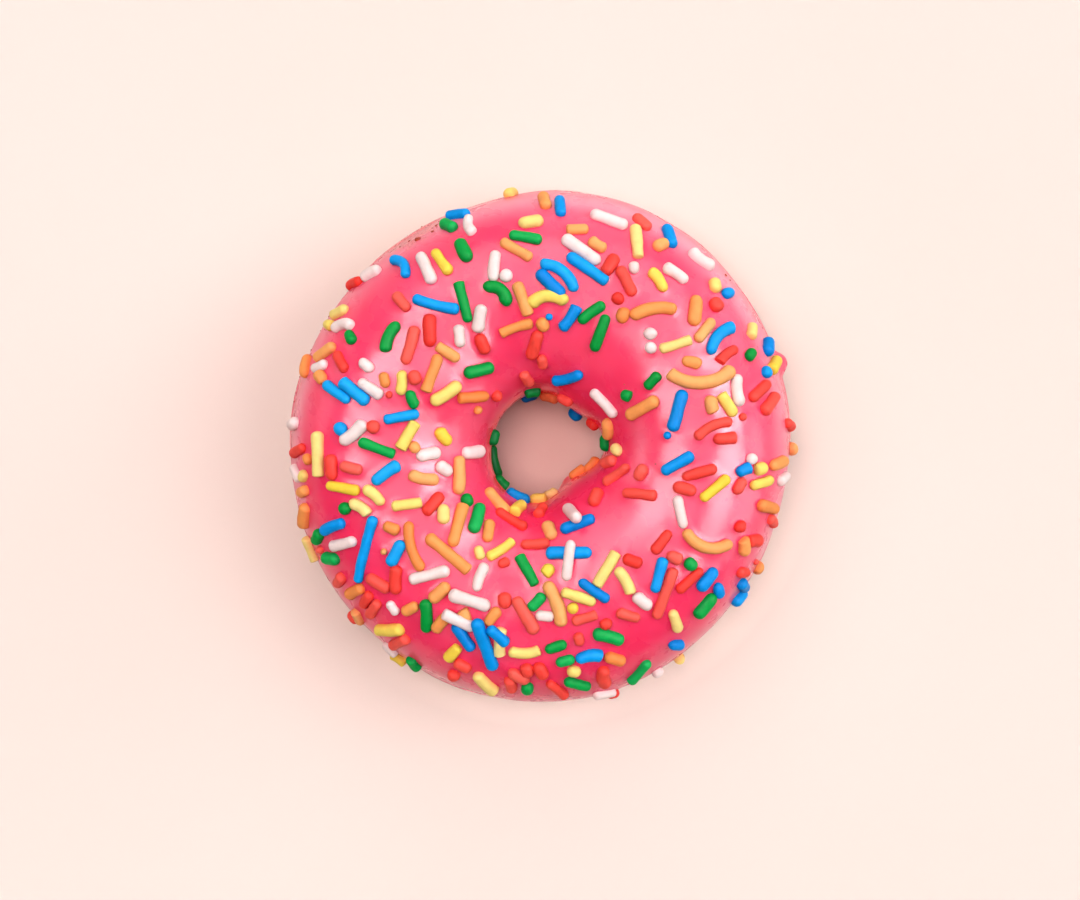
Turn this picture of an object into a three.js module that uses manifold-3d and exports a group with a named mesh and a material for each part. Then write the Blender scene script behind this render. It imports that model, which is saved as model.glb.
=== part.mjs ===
// Sprinkle frosted doughnut, in millimetres, +Z up.
//
// A ring of fried dough rests on the small flat of its underside at z = 0, with the middle of the
// ring over the origin. A skin of pink icing covers its top and both sides, and sugar sprinkles lie
// on the icing, sunk a little way into it, so that icing and sprinkles are one solid.
//
// A place on the ring is a turn (degrees around the ring, anticlockwise from +X) and a lean
// (degrees around the section: 0 outer side, 90 crown, 180 hole side, 270 underside).

import * as THREE from 'three';
import { mergeVertices } from 'three/addons/utils/BufferGeometryUtils.js';
import Module from 'manifold-3d';

const wasm = await Module();
wasm.setup();

// ---- Driving dimensions: the ring ----

const OUTER_RADIUS = 42;      // mean, to the outside of the icing
const HOLE_RADIUS = 8.9;      // mean, inside the icing
const CROWN_HEIGHT = 30;      // top of the icing
const WAIST_HEIGHT = 12.5;    // where the ring is widest
const ICING_CROWN = 1.5;      // icing thickness on the crown
const ICING_SIDE = 1.1;       // icing thickness on both sides
const GAP = 0.3;              // clearance between icing and dough
const FOOT_DEPTH = 0.7;       // how much of the round underside is pressed flat
const CROWN_EXPONENT = 2.25;  // superellipse exponents: 2 is an ellipse, more is squarer
const BASE_EXPONENT = 2.6;

// Uneven outlines, as sums of waves: [waves in one turn, swing, turn of the first peak].
const OUTER_WAVES = [[1, 0.22, -65], [2, 0.68, 69], [3, 0.38, 53], [4, 0.17, -8]];
const HOLE_WAVES = [[1, 0.53, -48], [2, 0.35, 31], [3, 0.73, -2], [4, 0.45, -1]];
const CROWN_WAVES = [[2, 0.35, 150], [3, 0.25, 20], [5, 0.12, 80]];

// A lump of dough on the hole's wall: how far it stands out, its place and its spread.
const LUMP = { rise: 1.5, turn: -52, lean: 197, turnSpread: 20, leanSpread: 14 };

// ---- Driving dimensions: the icing's edges ----

const OUTER_EDGE = -10;       // mean lean of the edge on the outer side
const INNER_EDGE = 206;       // mean lean of the edge in the hole
const OUTER_EDGE_WAVES = [[2, 2.5, 200], [5, 3, 30], [9, 2.2, 10], [13, 1.4, 3]];
const INNER_EDGE_WAVES = [[2, 3, 80], [5, 2.5, 15], [7, 2, 40]];
const BARE_STRETCH = { rise: 15, turn: 123, spread: 13 };  // where the icing barely reaches
const RIM_ROUND = 5;          // degrees of lean in which the rim thins to nothing
const RIM_BEAD = { rise: 0.45, back: 6, spread: 4 };       // the thicker bead along the rim
const SWELL = { rise: 0.16, turns: 5, leans: 3 };          // gentle unevenness of the icing
const DAB = { turn: 19, lean: 10, out: 1.7, along: 1.9, up: 2.2 };  // a stray dab on the outer side

// ---- Driving dimensions: the sprinkles ----

const SPRINKLE_RADIUS = 0.98;
const TIP_LENGTH = 0.55;      // length of a rounded tip
const SINK = 0.6;             // how much of the radius lies under the icing's surface
const HUG = 0.6;              // 0: stiff and straight, 1: follows the icing all along
const TOUCHING = 1.8;         // closest distance between the middle lines of two sprinkles
const MOST_BENT = 65;         // degrees
const STIFFNESS = 3;          // the higher, the fewer sprinkles are bent
const UNEVEN = 0.13;          // how much the radius differs from sprinkle to sprinkle, as a share
const FINEST_SOLID = 3.4;     // shorter sprinkles are too fine for the solid

// Colours of the strewn sprinkles, by their share.
const COLOUR_SHARES = [
  ['red', 0.31], ['orange', 0.17], ['green', 0.12], ['yellow', 0.16], ['white', 0.16], ['blue', 0.08],
];

// The most striking sprinkles, where they lie in plan: [x, y, heading, length, bend, height of the
// middle where it lies across another]. The bend is the change of heading from end to end.
const STRIKING_SPRINKLES = {
  blue: [
    [-28.5, -17, 75, 12, 0], [-9, -32, 105, 10.5, 0, 0.4], [-12.5, -31, 125, 5.5, 0],
    [-33, 8.5, 145, 6, 0], [-30, 8.5, 140, 6, 0], [7.5, 28.5, 145, 8, 0], [-17, 22.5, 165, 8, -15],
    [3.5, 28, -40, 8, -85], [1.5, 26, -45, 6, 0], [22, 5.5, 75, 7, 0], [28.5, 17.5, 50, 7, -70],
    [19, -21, 75, 6, 0], [8.5, -23.5, 145, 6, 0], [22, -3, 30, 6, 0], [4.5, 11, 15, 6, 30],
    [-22.5, 4.5, 10, 6, 0], [-22.3, 29.3, 130, 6.5, 95], [6, -13, 20, 6, 0], [4.5, -17.5, 0, 7.5, 0],
    [33, -23, 130, 4.5, 0], [-13.5, 37.5, 0, 4.5, 0], [37, 16, 80, 4, 0],
  ],
  green: [
    [-12.5, 23, 105, 7, 0], [9.5, 18, 70, 6.5, 0], [16, -37, 50, 6, 0], [-26.5, -0.5, 160, 6.5, 0],
    [-2.5, 33.5, 170, 5.5, 0], [-10.5, -12, 75, 5.5, 0], [26.5, -26, 50, 5, 0],
    [-15, 35.5, 150, 4, 0], [-6.5, 25, 140, 6, 150], [-24.5, 17.5, 65, 5.5, -60],
  ],
  yellow: [
    [-36, -1.5, 90, 7.5, 0], [10.5, -20, 60, 6.5, 0], [6, -24.5, 160, 6, 0, 0.5],
    [-24.5, -30, 5, 6, 0], [1, 24, 5, 7, -110], [28, -7, 40, 6, 0], [15.5, 33, 95, 6.5, 0],
    [-32, -7, 170, 6, 0], [38, 13, 55, 4.5, 0], [-5, 41.5, 30, 3.5, 0], [-16, 29.5, 125, 5.5, 0],
  ],
  orange: [
    [26, 10, 5, 12, 85], [26.5, -16.5, -15, 9.5, 100], [-15, -17.5, 140, 9, 0],
    [-21, -16.5, 105, 8.5, -50], [18, 22, 10, 8, -55], [2.5, -25.5, 110, 8, 35],
    [-13.5, -13, 75, 7.5, 0], [16.5, 6, 30, 6.5, 0], [-17.5, 11.5, 70, 6.5, 0],
    [-13.5, -5, 90, 6.5, 15], [-7.5, -9.5, 135, 5.5, 0], [-35, 15, 35, 5, 0],
    [38.5, -3, 20, 5, 0], [-3, 23.5, 110, 6, 0], [-4, 31.5, 150, 6, 0],
  ],
  red: [
    [20, -24, 70, 9, 0], [27.5, 3, 25, 7, -55], [-21, 16, 75, 6.5, 15], [-5, -12.5, 150, 6, 0],
    [16, -8, 175, 6, 0], [25.5, -4.5, 15, 6, 0], [-2.5, -27.5, 120, 7, 0],
  ],
  white: [
    [6.5, 31.5, 145, 7.5, 0], [11, 36.5, 160, 6.5, 0], [-18, -21, 15, 7, 0],
    [-11.5, -25, 160, 7, 0, 0.6], [-18.5, 28.5, 115, 6.5, 0], [4.5, -19, 80, 6, 0, 1],
    [10.5, 7, -50, 6, 0], [5.5, -12, -55, 6, 0, 1.1], [26, 30, 145, 5, -60],
    [39.5, -5.5, 35, 4, 0], [-32, 19.5, 10, 5, -80], [-32, -16, 15, 5.5, 0],
  ],
};

// Sprinkles on the hole's wall: [colour, turn, lean, heading, length, bend]. Heading 0 runs along
// the ring, 90 up the wall.
const WALL_SPRINKLES = [
  ['green', 171, 168, 0, 2.8, 0], ['green', 199, 190, 8, 6, 50], ['green', 223, 172, 20, 2.8, 0],
  ['blue', 246, 170, 0, 4.4, 0], ['yellow', 267, 174, -10, 3.2, 0], ['yellow', 281, 182, 15, 2.8, 0],
  ['orange', -38, 182, 0, 3, 0], ['orange', -22, 180, 5, 3.2, 0], ['green', 2, 163, -5, 3, 0],
  ['red', 22, 172, 60, 2.8, 0], ['blue', 42, 186, 50, 2.8, 0], ['red', 62, 160, 20, 3, 0],
  ['orange', 80, 176, 25, 3.6, 0], ['blue', 103, 184, -40, 3.4, 0], ['green', 99, 164, -10, 2.8, 0],
];

// Patches of the top that hardly any sprinkle fell on: [x, y, radius].
const BARE_PATCHES = [
  [11, 12, 4], [12, -13.5, 4], [18, 0, 4], [-27.5, 21.5, 4], [36.5, 1.5, 3.8], [-36, 5.5, 3.8],
  [5, 15, 3.6], [14, 16, 3.4], [-8, 35.5, 3.4], [-6, 15, 3], [-20.5, 33.5, 3.8],
];

// The rest, the longest first: strewn from above between two radii, a share of them onto one
// crowded stretch, and stuck to the outer side between two turns and two leans over the edge. The
// lower the inwards share, the more of them fall near the outer side.
const STREWN = {
  count: 185, longest: 5.8, shortest: 1.9, nearest: 11, farthest: 40.5, inwards: 0.75,
};
const CROWDED = { share: 0.22, turn: 235, spread: 55 };
const OUTER_SIDE = {
  count: 14, longest: 4.6, shortest: 2, from: 195, to: 375, nearest: 9, farthest: 34,
};
const TRIES = 80;
const AIMS = 4;               // rounds in which a point in plan finds its lean
const SEED = 129;

// ---- How finely the solids are divided ----

const TURN_STEPS = 60;
const COVERED_STEPS = 9;      // steps of the dough, and of the icing's inside, under the icing
const HOLE_STEPS = 2;         // steps of the bare dough from the icing in the hole to the foot
const SIDE_STEPS = 3;         // and from the foot to the icing on the outer side
const SURFACE_STEPS = 12;     // steps of the icing's outside between its rims
const RIM_LEANS = [1, 3.2];   // degrees in from each edge of the icing's rim rows
const SPRINKLE_SIDES = 5;
const STRAIGHT_RUN = 6.6;     // a sprinkle gets one more ring for each run of this length
const BENT_RUN = 40;          // and one for each such part of its bend, in degrees
const DAB_SIDES = 8;
const DAB_ROWS = 6;
const TIDY = 0.08;            // how far the surface may move to spare a needless vertex
const SAME_POINT = 1e-5;      // vertices nearer than this are one

const FINISHES = {
  dough: { color: 0xc98a4b, roughness: 0.85, metalness: 0 },
  icing: { color: 0xff6b88, roughness: 0.3, metalness: 0 },
};

// ---- Small helpers ----

const radians = THREE.MathUtils.degToRad;
const degrees = THREE.MathUtils.radToDeg;
const lerp = THREE.MathUtils.lerp;
const clamp = THREE.MathUtils.clamp;

// A power that keeps the sign, for the superellipse.
function signedPower(value, exponent) {
  return Math.sign(value) * Math.abs(value) ** exponent;
}

function waves(table, turn) {
  return table.reduce((sum, [count, swing, peak]) => (
    sum + swing * Math.cos(count * radians(turn - peak))
  ), 0);
}

// 1 at the middle, falling smoothly to nothing some spreads away, measured around the circle.
function bell(angle, middle, spread) {
  const away = THREE.MathUtils.euclideanModulo(angle - middle + 180, 360) - 180;
  return Math.exp(-((away / spread) ** 2));
}

// A seeded source of numbers from 0 to 1: the Park-Miller generator.
function seededDraw(seed) {
  const [multiplier, modulus] = [48271, 2147483647];
  let state = seed;
  return () => {
    state = (state * multiplier) % modulus;
    return state / modulus;
  };
}

// ---- The dough's section ----

const SIDE = GAP + ICING_SIDE;

// Middle radius and half-width of the dough's section at a turn.
function tube(turn) {
  const outer = OUTER_RADIUS - SIDE + waves(OUTER_WAVES, turn);
  const inner = HOLE_RADIUS + SIDE + waves(HOLE_WAVES, turn);
  return { middle: (outer + inner) / 2, half: (outer - inner) / 2 };
}

function crownRise(turn) {
  return CROWN_HEIGHT - GAP - ICING_CROWN - WAIST_HEIGHT + waves(CROWN_WAVES, turn);
}

// Distance from the axis and height of the dough's surface.
function doughSection(turn, lean) {
  const { middle, half } = tube(turn);
  const angle = radians(lean);
  const above = Math.sin(angle) >= 0;
  const power = 2 / (above ? CROWN_EXPONENT : BASE_EXPONENT);
  const rise = above ? crownRise(turn) : WAIST_HEIGHT + FOOT_DEPTH;
  const lump = LUMP.rise * bell(turn, LUMP.turn, LUMP.turnSpread)
    * bell(lean, LUMP.lean, LUMP.leanSpread);
  const radius = middle + half * signedPower(Math.cos(angle), power) - lump;
  const height = WAIST_HEIGHT + rise * signedPower(Math.sin(angle), power);
  return new THREE.Vector2(radius, Math.max(0, height));
}

// The direction straight out of the section.
function sectionNormal(turn, lean) {
  const step = 0.5;
  const along = doughSection(turn, lean + step).sub(doughSection(turn, lean - step));
  return new THREE.Vector2(along.y, -along.x).normalize();
}

// A point at a height over the dough's surface, in space.
function overDough(turn, lean, height) {
  const { x: radius, y: z } = doughSection(turn, lean)
    .addScaledVector(sectionNormal(turn, lean), height);
  return new THREE.Vector3(radius * Math.cos(radians(turn)), radius * Math.sin(radians(turn)), z);
}

// ---- The icing ----

function outerEdge(turn) {
  return OUTER_EDGE + waves(OUTER_EDGE_WAVES, turn)
    + BARE_STRETCH.rise * bell(turn, BARE_STRETCH.turn, BARE_STRETCH.spread);
}

function innerEdge(turn) {
  return INNER_EDGE + waves(INNER_EDGE_WAVES, turn);
}

// Height of the icing's outside over the dough, from its rounded rim to the crown.
function icingTop(turn, lean) {
  const fromEdge = Math.min(lean - outerEdge(turn), innerEdge(turn) - lean);
  const body = lerp(ICING_SIDE, ICING_CROWN, Math.max(0, Math.sin(radians(lean))));
  const bead = RIM_BEAD.rise * bell(fromEdge, RIM_BEAD.back, RIM_BEAD.spread);
  const swell = SWELL.rise * Math.cos(SWELL.turns * radians(turn))
    * Math.cos(SWELL.leans * radians(lean));
  const rounding = 1 - clamp(fromEdge / RIM_ROUND, 0, 1);
  return GAP + (body + bead + swell) * Math.sqrt(1 - rounding ** 2);
}

// The point at a height over the icing's outside.
function overIcing(turn, lean, height) {
  return overDough(turn, lean, icingTop(turn, lean) + height);
}

// ---- Closed rings ----

// A closed solid through one closed section per step around the ring, each with as many points.
function closedRing(sections) {
  const size = sections[0].length;
  const index = [];
  sections.forEach((_, i) => {
    const next = (i + 1) % sections.length;
    for (let j = 0; j < size; j += 1) {
      const [a, b] = [i * size + j, i * size + (j + 1) % size];
      const [c, d] = [next * size + j, next * size + (j + 1) % size];
      index.push(a, c, b, b, c, d);
    }
  });
  const geometry = new THREE.BufferGeometry();
  geometry.setAttribute('position', new THREE.Float32BufferAttribute(
    sections.flat().flatMap((point) => point.toArray()), 3,
  ));
  geometry.setIndex(index);
  return geometry;
}

function aroundTheRing(sectionAt) {
  return Array.from({ length: TURN_STEPS }, (_, i) => sectionAt(360 * i / TURN_STEPS));
}

function evenLeans(from, to, steps) {
  return Array.from({ length: steps + 1 }, (_, i) => lerp(from, to, i / steps));
}

// The rows that the dough and the inside of the icing share, so that their gap stays even.
function coveredLeans(turn) {
  return evenLeans(outerEdge(turn), innerEdge(turn), COVERED_STEPS);
}

// Half the lean angle that the flat of the underside spans.
const FOOT_LEAN = 90 - degrees(Math.asin(
  (WAIST_HEIGHT / (WAIST_HEIGHT + FOOT_DEPTH)) ** (BASE_EXPONENT / 2),
));

function doughShape() {
  return closedRing(aroundTheRing((turn) => {
    const [outer, inner] = [outerEdge(turn), innerEdge(turn)];
    const [footIn, footOut] = [270 - FOOT_LEAN, 270 + FOOT_LEAN];
    const leans = [
      ...coveredLeans(turn),
      ...evenLeans(inner, footIn, HOLE_STEPS).slice(1),
      ...evenLeans(footOut, outer + 360, SIDE_STEPS).slice(0, -1),
    ];
    return leans.map((lean) => overDough(turn, lean, 0));
  }));
}

function icingShape() {
  return closedRing(aroundTheRing((turn) => {
    const [outer, inner] = [outerEdge(turn), innerEdge(turn)];
    const margin = RIM_LEANS.at(-1) + RIM_BEAD.back / 2;
    const outside = [
      ...RIM_LEANS.map((back) => outer + back),
      ...evenLeans(outer + margin, inner - margin, SURFACE_STEPS),
      ...RIM_LEANS.map((back) => inner - back).reverse(),
    ];
    const inside = coveredLeans(turn).reverse();
    return [
      ...outside.map((lean) => overDough(turn, lean, icingTop(turn, lean))),
      ...inside.map((lean) => overDough(turn, lean, GAP)),
    ];
  }));
}

function dabShape() {
  const middle = overIcing(DAB.turn, DAB.lean, 0);
  return new THREE.SphereGeometry(1, DAB_SIDES, DAB_ROWS)
    .scale(DAB.out, DAB.along, DAB.up)
    .rotateZ(radians(DAB.turn))
    .translate(middle.x, middle.y, middle.z);
}

// ---- Places of the sprinkles ----

// The lean on the upper half whose icing lies under a point in plan. The lean that a superellipse
// around the icing gives misses the point a little, so the aim is put right a few times.
function leanInPlan(turn, radius) {
  const { middle, half } = tube(turn);
  let aim = radius;
  let lean = 90;
  for (let i = 0; i < AIMS; i += 1) {
    const across = clamp((aim - middle) / (half + SIDE), -1, 1);
    lean = degrees(Math.acos(signedPower(across, CROWN_EXPONENT / 2)));
    const { x, y } = overIcing(turn, lean, 0);
    aim += radius - Math.hypot(x, y);
  }
  return lean;
}

// The turn and lean of the icing right under a point in space.
function placeUnder(point) {
  const turn = degrees(Math.atan2(point.y, point.x));
  const { middle, half } = tube(turn);
  const across = (Math.hypot(point.x, point.y) - middle) / (half + SIDE);
  const up = point.z - WAIST_HEIGHT;
  const rise = up > 0 ? crownRise(turn) + SIDE : WAIST_HEIGHT + FOOT_DEPTH;
  const exponent = up > 0 ? CROWN_EXPONENT : BASE_EXPONENT;
  const lean = degrees(Math.atan2(
    signedPower(up / rise, exponent / 2), signedPower(across, exponent / 2),
  ));
  return { turn, lean: lean < -90 ? lean + 360 : lean };
}

function icingNormal(turn, lean) {
  const { x: outward, y: up } = sectionNormal(turn, lean);
  const angle = radians(turn);
  return new THREE.Vector3(outward * Math.cos(angle), outward * Math.sin(angle), up);
}

// The direction on the surface whose plan has the given heading.
function planDirection(normal, heading) {
  const [x, y] = [Math.cos(radians(heading)), Math.sin(radians(heading))];
  return new THREE.Vector3(x, y, -(x * normal.x + y * normal.y) / normal.z).normalize();
}

// The direction on the surface that leaves the line of the ring by the given heading.
function wallDirection(normal, turn, heading) {
  const alongRing = new THREE.Vector3(-Math.sin(radians(turn)), Math.cos(radians(turn)), 0);
  const upTheWall = normal.clone().cross(alongRing).normalize();
  return alongRing.multiplyScalar(Math.cos(radians(heading)))
    .addScaledVector(upTheWall, Math.sin(radians(heading)));
}

// A sprinkle's middle line: an arc over the icing at its place, drawn down towards the icing.
// One that lies across another is straight, from its foot in the icing over its lifted middle.
function sprinkleLine(place) {
  const { turn, lean, direction, length, bend, lift, radius } = place;
  const normal = icingNormal(turn, lean);
  const sideways = normal.clone().cross(direction);
  const rest = radius * (1 - SINK);
  const middle = overIcing(turn, lean, rest);
  const curve = radians(bend) / length;
  const level = (along) => {
    const ahead = curve === 0 ? along : Math.sin(curve * along) / curve;
    const aside = curve === 0 ? 0 : (1 - Math.cos(curve * along)) / curve;
    return middle.clone().addScaledVector(direction, ahead).addScaledVector(sideways, aside);
  };
  const hugging = (along) => {
    const under = placeUnder(level(along));
    return overIcing(under.turn, under.lean, rest);
  };
  if (lift > 0) {
    const foot = hugging(-length / 2);
    const crossing = middle.clone().addScaledVector(normal, lift);
    return (along) => crossing.clone().lerp(foot, -2 * along / length);
  }
  return (along) => level(along).lerp(hugging(along), HUG);
}

function makeSprinkle(colour, place) {
  const line = sprinkleLine(place);
  const reach = place.length / 2 - place.radius;
  const samples = [-1, -0.5, 0, 0.5, 1].map((part) => line(part * reach));
  return { colour, line, samples, ...place };
}

function sprinkleInPlan(colour, x, y, heading, length, bend, lift, radius) {
  const turn = degrees(Math.atan2(y, x));
  const lean = leanInPlan(turn, Math.hypot(x, y));
  const direction = planDirection(icingNormal(turn, lean), heading);
  return makeSprinkle(colour, { turn, lean, direction, length, bend, lift, radius });
}

function sprinkleOnWall(colour, turn, lean, heading, length, bend, radius) {
  const direction = wallDirection(icingNormal(turn, lean), turn, heading);
  return makeSprinkle(colour, { turn, lean, direction, length, bend, lift: 0, radius });
}

function isClear(sprinkle, others) {
  return others.every((other) => other.samples.every((point) => (
    sprinkle.samples.every((own) => own.distanceTo(point) > TOUCHING)
  )));
}

function isOverBarePatch(sprinkle) {
  return BARE_PATCHES.some(([x, y, radius]) => (
    sprinkle.samples.some((point) => Math.hypot(point.x - x, point.y - y) < radius)
  ));
}

function drawnColour(number) {
  let sum = 0;
  const found = COLOUR_SHARES.find(([, share]) => {
    sum += share;
    return number < sum;
  });
  return (found ?? COLOUR_SHARES[0])[0];
}

// Most sprinkles are nearly straight; a few are bent, up to MOST_BENT either way.
function drawnBend(number) {
  return MOST_BENT * signedPower(2 * number - 1, STIFFNESS);
}

// Tries random places until one is clear of the sprinkles that already lie there.
function addClear(sprinkles, count, longest, shortest, propose) {
  for (let i = 0; i < count; i += 1) {
    const length = lerp(longest, shortest, i / (count - 1));
    for (let attempt = 0; attempt < TRIES; attempt += 1) {
      const sprinkle = propose(length);
      if (isClear(sprinkle, sprinkles) && !isOverBarePatch(sprinkle)) {
        sprinkles.push(sprinkle);
        break;
      }
    }
  }
}

function allSprinkles() {
  const draw = seededDraw(SEED);
  const drawnRadius = () => SPRINKLE_RADIUS * lerp(1 - UNEVEN, 1 + UNEVEN, draw());
  const sprinkles = [];
  Object.entries(STRIKING_SPRINKLES).forEach(([colour, rows]) => {
    rows.forEach(([x, y, heading, length, bend, lift = 0]) => {
      sprinkles.push(sprinkleInPlan(colour, x, y, heading, length, bend, lift, drawnRadius()));
    });
  });
  WALL_SPRINKLES.forEach(([colour, turn, lean, heading, length, bend]) => {
    sprinkles.push(sprinkleOnWall(colour, turn, lean, heading, length, bend, drawnRadius()));
  });
  addClear(sprinkles, OUTER_SIDE.count, OUTER_SIDE.longest, OUTER_SIDE.shortest, (length) => {
    const colour = drawnColour(draw());
    const turn = lerp(OUTER_SIDE.from, OUTER_SIDE.to, draw());
    const lean = outerEdge(turn) + lerp(OUTER_SIDE.nearest, OUTER_SIDE.farthest, draw());
    return sprinkleOnWall(colour, turn, lean, 180 * draw(), length, drawnBend(draw()), drawnRadius());
  });
  addClear(sprinkles, STREWN.count, STREWN.longest, STREWN.shortest, (length) => {
    const colour = drawnColour(draw());
    const radius = lerp(STREWN.nearest, STREWN.farthest, draw() ** STREWN.inwards);
    const crowded = draw() < CROWDED.share;
    const turn = radians(crowded ? CROWDED.turn + CROWDED.spread * (2 * draw() - 1) : 360 * draw());
    const [x, y] = [radius * Math.cos(turn), radius * Math.sin(turn)];
    return sprinkleInPlan(colour, x, y, 180 * draw(), length, drawnBend(draw()), 0, drawnRadius());
  });
  return sprinkles;
}

// ---- Sprinkle solids ----

// A lathe-turned bead with blunt tips, whose rings are then carried along the sprinkle's line.
function sprinkleShape({ line, length, bend, radius, turn, lean }) {
  const rings = 1 + Math.ceil(length / STRAIGHT_RUN) + Math.round(Math.abs(bend) / BENT_RUN);
  const shoulder = length / 2 - TIP_LENGTH;
  const profile = [
    new THREE.Vector2(0, -length / 2),
    ...evenLeans(-shoulder, shoulder, rings - 1).map((along) => new THREE.Vector2(radius, along)),
    new THREE.Vector2(0, length / 2),
  ];
  const geometry = new THREE.LatheGeometry(profile, SPRINKLE_SIDES);
  const position = geometry.getAttribute('position');
  const normal = icingNormal(turn, lean);
  const step = 0.05;
  for (let i = 0; i < position.count; i += 1) {
    const along = position.getY(i);
    const ahead = line(along + step).sub(line(along - step)).normalize();
    const sideways = ahead.clone().cross(normal).normalize();
    const upwards = sideways.clone().cross(ahead);
    const point = line(along).addScaledVector(sideways, position.getX(i))
      .addScaledVector(upwards, position.getZ(i));
    position.setXYZ(i, point.x, point.y, point.z);
  }
  return geometry;
}

// ---- Solids ----

// A closed three.js shape as a manifold solid, without the flat triangles at a lathe's poles.
function solidFrom(geometry) {
  const bare = geometry.clone();
  bare.deleteAttribute('normal');
  bare.deleteAttribute('uv');
  const merged = mergeVertices(bare, SAME_POINT);
  const index = merged.getIndex().array;
  const kept = [];
  for (let i = 0; i < index.length; i += 3) {
    const [a, b, c] = index.slice(i, i + 3);
    if (a !== b && b !== c && c !== a) {
      kept.push(a, b, c);
    }
  }
  return new wasm.Manifold(new wasm.Mesh({
    numProp: 3,
    vertProperties: Float32Array.from(merged.getAttribute('position').array),
    triVerts: Uint32Array.from(kept),
  }));
}

function shapeFrom(solid) {
  const mesh = solid.getMesh();
  const geometry = new THREE.BufferGeometry();
  geometry.setAttribute('position', new THREE.BufferAttribute(mesh.vertProperties, 3));
  geometry.setIndex(new THREE.BufferAttribute(mesh.triVerts, 1));
  geometry.computeVertexNormals();
  return geometry;
}

// The icing with its sprinkles fused on, as one body without scraps or sealed hollows.
function frostedShape() {
  const beads = allSprinkles()
    .filter((sprinkle) => sprinkle.length >= FINEST_SOLID)
    .map((sprinkle) => solidFrom(sprinkleShape(sprinkle)));
  const fused = wasm.Manifold.union([solidFrom(icingShape()), solidFrom(dabShape()), ...beads])
    .asOriginal().simplify(TIDY);
  const pieces = fused.decompose().sort((a, b) => b.volume() - a.volume());
  return shapeFrom(pieces[0]);
}

// ---- The doughnut ----

function part(name, geometry) {
  const mesh = new THREE.Mesh(geometry, new THREE.MeshStandardMaterial(FINISHES[name]));
  mesh.name = name;
  return mesh;
}

const doughnut = new THREE.Group();
doughnut.add(part('dough', doughShape()));
doughnut.add(part('icing', frostedShape()));

export default doughnut;
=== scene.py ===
import math
import random

import bmesh
import bpy
import numpy as np
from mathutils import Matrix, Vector, kdtree, noise


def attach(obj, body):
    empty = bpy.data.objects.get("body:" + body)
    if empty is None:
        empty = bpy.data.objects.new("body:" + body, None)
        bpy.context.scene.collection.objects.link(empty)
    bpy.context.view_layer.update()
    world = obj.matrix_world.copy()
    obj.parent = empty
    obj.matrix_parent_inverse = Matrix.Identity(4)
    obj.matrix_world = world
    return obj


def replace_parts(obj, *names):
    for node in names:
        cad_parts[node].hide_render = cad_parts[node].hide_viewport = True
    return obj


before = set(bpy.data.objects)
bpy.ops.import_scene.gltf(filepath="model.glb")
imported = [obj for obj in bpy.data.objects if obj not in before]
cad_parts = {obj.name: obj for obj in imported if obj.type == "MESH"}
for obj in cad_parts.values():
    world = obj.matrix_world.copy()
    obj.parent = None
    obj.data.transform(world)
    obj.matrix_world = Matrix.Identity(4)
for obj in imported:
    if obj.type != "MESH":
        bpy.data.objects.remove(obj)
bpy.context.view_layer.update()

# Sprinkle frosted doughnut, seen from straight above on a pale floor. The ring, its icing and its
# sprinkles are worked out in millimetres from the same named sizes as the solids.
#
# A place on the ring is a turn (degrees around the ring, anticlockwise from +X) and a lean
# (degrees around the section: 0 outer side, 90 crown, 180 hole side, 270 underside).

MM = 0.001                    # metres in a millimetre

# ---- Sizes that the solids share: the ring ----

OUTER_RADIUS = 42             # mean, to the outside of the icing
HOLE_RADIUS = 8.9             # mean, inside the icing
CROWN_HEIGHT = 30             # top of the icing
WAIST_HEIGHT = 12.5           # where the ring is widest
ICING_CROWN = 1.5             # icing thickness on the crown
ICING_SIDE = 1.1              # icing thickness on both sides
GAP = 0.3                     # clearance between icing and dough
FOOT_DEPTH = 0.7              # how much of the round underside is pressed flat
CROWN_EXPONENT = 2.25         # superellipse exponents: 2 is an ellipse, more is squarer
BASE_EXPONENT = 2.6

# Uneven outlines, as sums of waves: (waves in one turn, swing, turn of the first peak).
OUTER_WAVES = [(1, 0.22, -65), (2, 0.68, 69), (3, 0.38, 53), (4, 0.17, -8)]
HOLE_WAVES = [(1, 0.53, -48), (2, 0.35, 31), (3, 0.73, -2), (4, 0.45, -1)]
CROWN_WAVES = [(2, 0.35, 150), (3, 0.25, 20), (5, 0.12, 80)]

# A lump of dough on the hole's wall: how far it stands out, its place and its spread.
LUMP = {"rise": 1.5, "turn": -52, "lean": 197, "turn_spread": 20, "lean_spread": 14}

# ---- Sizes that the solids share: the icing's edges ----

OUTER_EDGE = -10              # mean lean of the edge on the outer side
INNER_EDGE = 206              # mean lean of the edge in the hole
OUTER_EDGE_WAVES = [(2, 2.5, 200), (5, 3, 30), (9, 2.2, 10), (13, 1.4, 3)]
INNER_EDGE_WAVES = [(2, 3, 80), (5, 2.5, 15), (7, 2, 40)]
BARE_STRETCH = {"rise": 15, "turn": 123, "spread": 13}    # where the icing barely reaches
RIM_ROUND = 5                 # degrees of lean in which the rim thins to nothing
RIM_BEAD = {"rise": 0.45, "back": 6, "spread": 4}         # the thicker bead along the rim
SWELL = {"rise": 0.16, "turns": 5, "leans": 3}            # gentle unevenness of the icing
DAB = {"turn": 19, "lean": 10, "out": 1.7, "along": 1.9, "up": 2.2}  # a stray dab

# ---- Sizes that the solids share: the sprinkles ----

SPRINKLE_RADIUS = 0.98
SINK = 0.6                    # how much of the radius lies under the icing's surface
HUG = 0.6                     # 0: stiff and straight, 1: follows the icing all along
TOUCHING = 1.8                # closest distance between the middle lines of two sprinkles
MOST_BENT = 65                # degrees
STIFFNESS = 3                 # the higher, the fewer sprinkles are bent
UNEVEN = 0.13                 # how much the radius differs from sprinkle to sprinkle

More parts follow.
